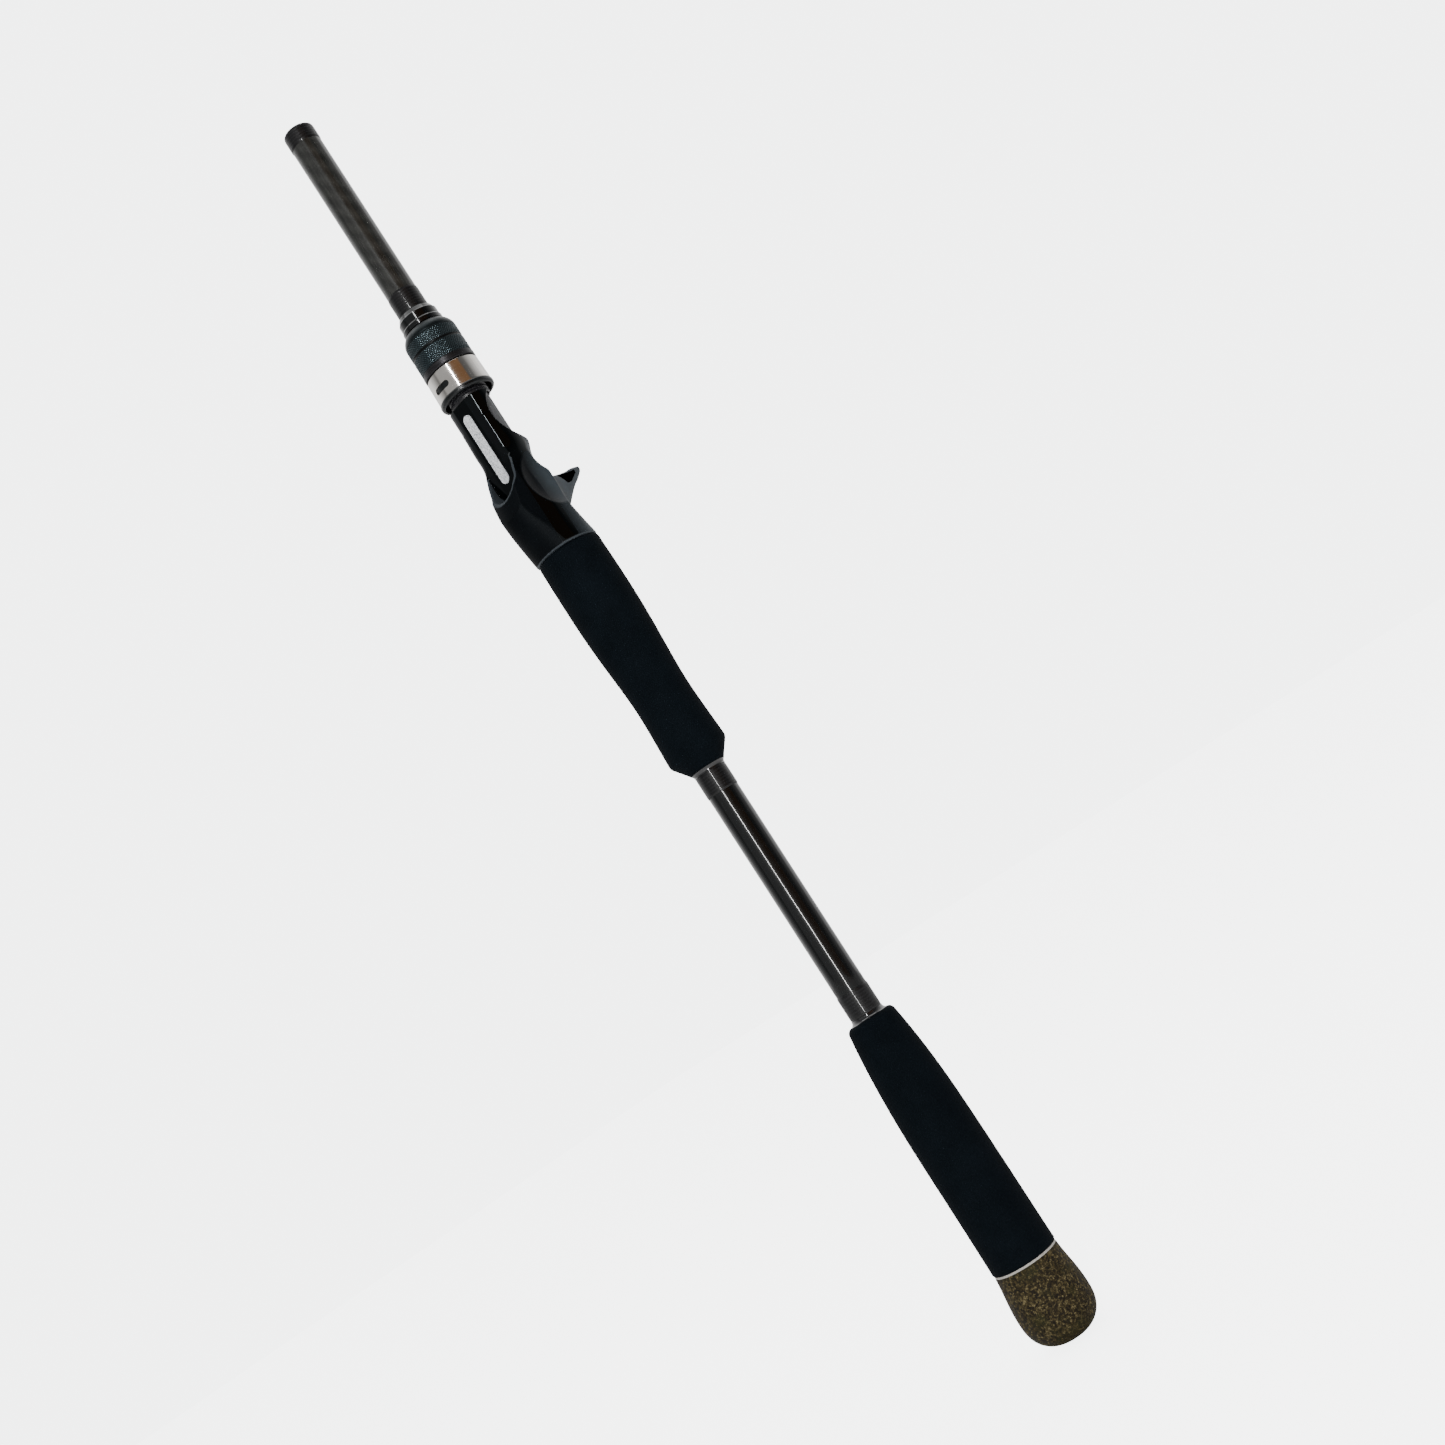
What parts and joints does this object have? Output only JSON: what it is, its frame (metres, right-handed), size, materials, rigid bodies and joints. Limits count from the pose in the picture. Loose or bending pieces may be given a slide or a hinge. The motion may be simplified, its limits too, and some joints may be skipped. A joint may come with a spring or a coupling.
{
  "type": "detachable casting rod handle",
  "caption": "Detachable casting-rod handle: ferrule tube, trigger reel seat with screw-down sliding hood, foam fore and butt grips, cork butt cap.",
  "frame": {"origin": "on the tube's axis, at the flat on the end of the butt cap", "axes": "+Z along the tube from the butt to the tip end; the reel deck faces -Y and the trigger points to +Y; +X is the right side seen from the deck with the tip up"},
  "size_m": [0.031, 0.0567, 0.5751],
  "materials": {
    "carbon_tube": "clear-coated carbon composite, brown-black, glossy",
    "arbor_resin": "light filled resin, matt, out of sight",
    "thread_wrap": "black winding thread under a clear glossy coat",
    "check_black": "gloss black anodised ring with bright edges",
    "pipe_grey": "dark grey, matt",
    "seat_plastic": "black moulded resin: gloss deck and panels, soft-touch dome and trigger",
    "deck_glitter": "silver glitter under a clear coat",
    "liner_black": "black moulded resin, satin",
    "hood_metal": "polished nickel, warm",
    "spring_steel": "drawn spring steel",
    "nut_metal": "satin blue-black anodised, diamond knurl",
    "ring_grey": "satin dark grey anodised",
    "foam_black": "dense closed-cell foam, sanded matt",
    "epoxy": "cured epoxy, glossy black",
    "trim_light": "pale grey, satin",
    "rubber_cork": "dark rubberised cork, speckled, matt"
  },
  "bodies": {
    "handle": {"handle_tube": "carbon_tube", "ferrule_stop": "arbor_resin", "tip_wrap": "thread_wrap", "fore_wrap": "thread_wrap", "winding_check": "check_black", "barrel_collar": "check_black", "front_arbor": "arbor_resin", "rear_arbor": "arbor_resin", "seat_pipe": "pipe_grey", "seat_body": "seat_plastic", "deck_pad": "deck_glitter", "upper_grip": "foam_black", "upper_epoxy_fillet": "epoxy", "upper_wrap": "thread_wrap", "lower_wrap": "thread_wrap", "lower_epoxy_fillet": "epoxy", "lower_grip": "foam_black", "butt_trim_ring": "trim_light", "butt_cap": "rubber_cork", "butt_plug": "arbor_resin"},
    "hood": {"hood_liner": "liner_black", "hood_key": "liner_black", "hood_shell": "hood_metal", "hood_snap_ring": "spring_steel"},
    "nut": {"nut_core": "liner_black", "nut_sleeve": "nut_metal", "nut_end_ring": "ring_grey"}
  },
  "joints": [
    {"name": "hood_slide", "type": "slide", "parent": "handle", "child": "hood", "axis": [0, 0, -1], "range_m": [0, 0.012]},
    {"name": "nut_turn", "type": "hinge", "parent": "hood", "child": "nut", "pos_m": [0, 0, 0.4627], "axis": [0, 0, -1], "range_deg": [0, 2881]}
  ],
  "couplings": [
    {"joint": "nut_turn", "follows": "hood_slide", "rad_per_m": 4188.8}
  ]
}
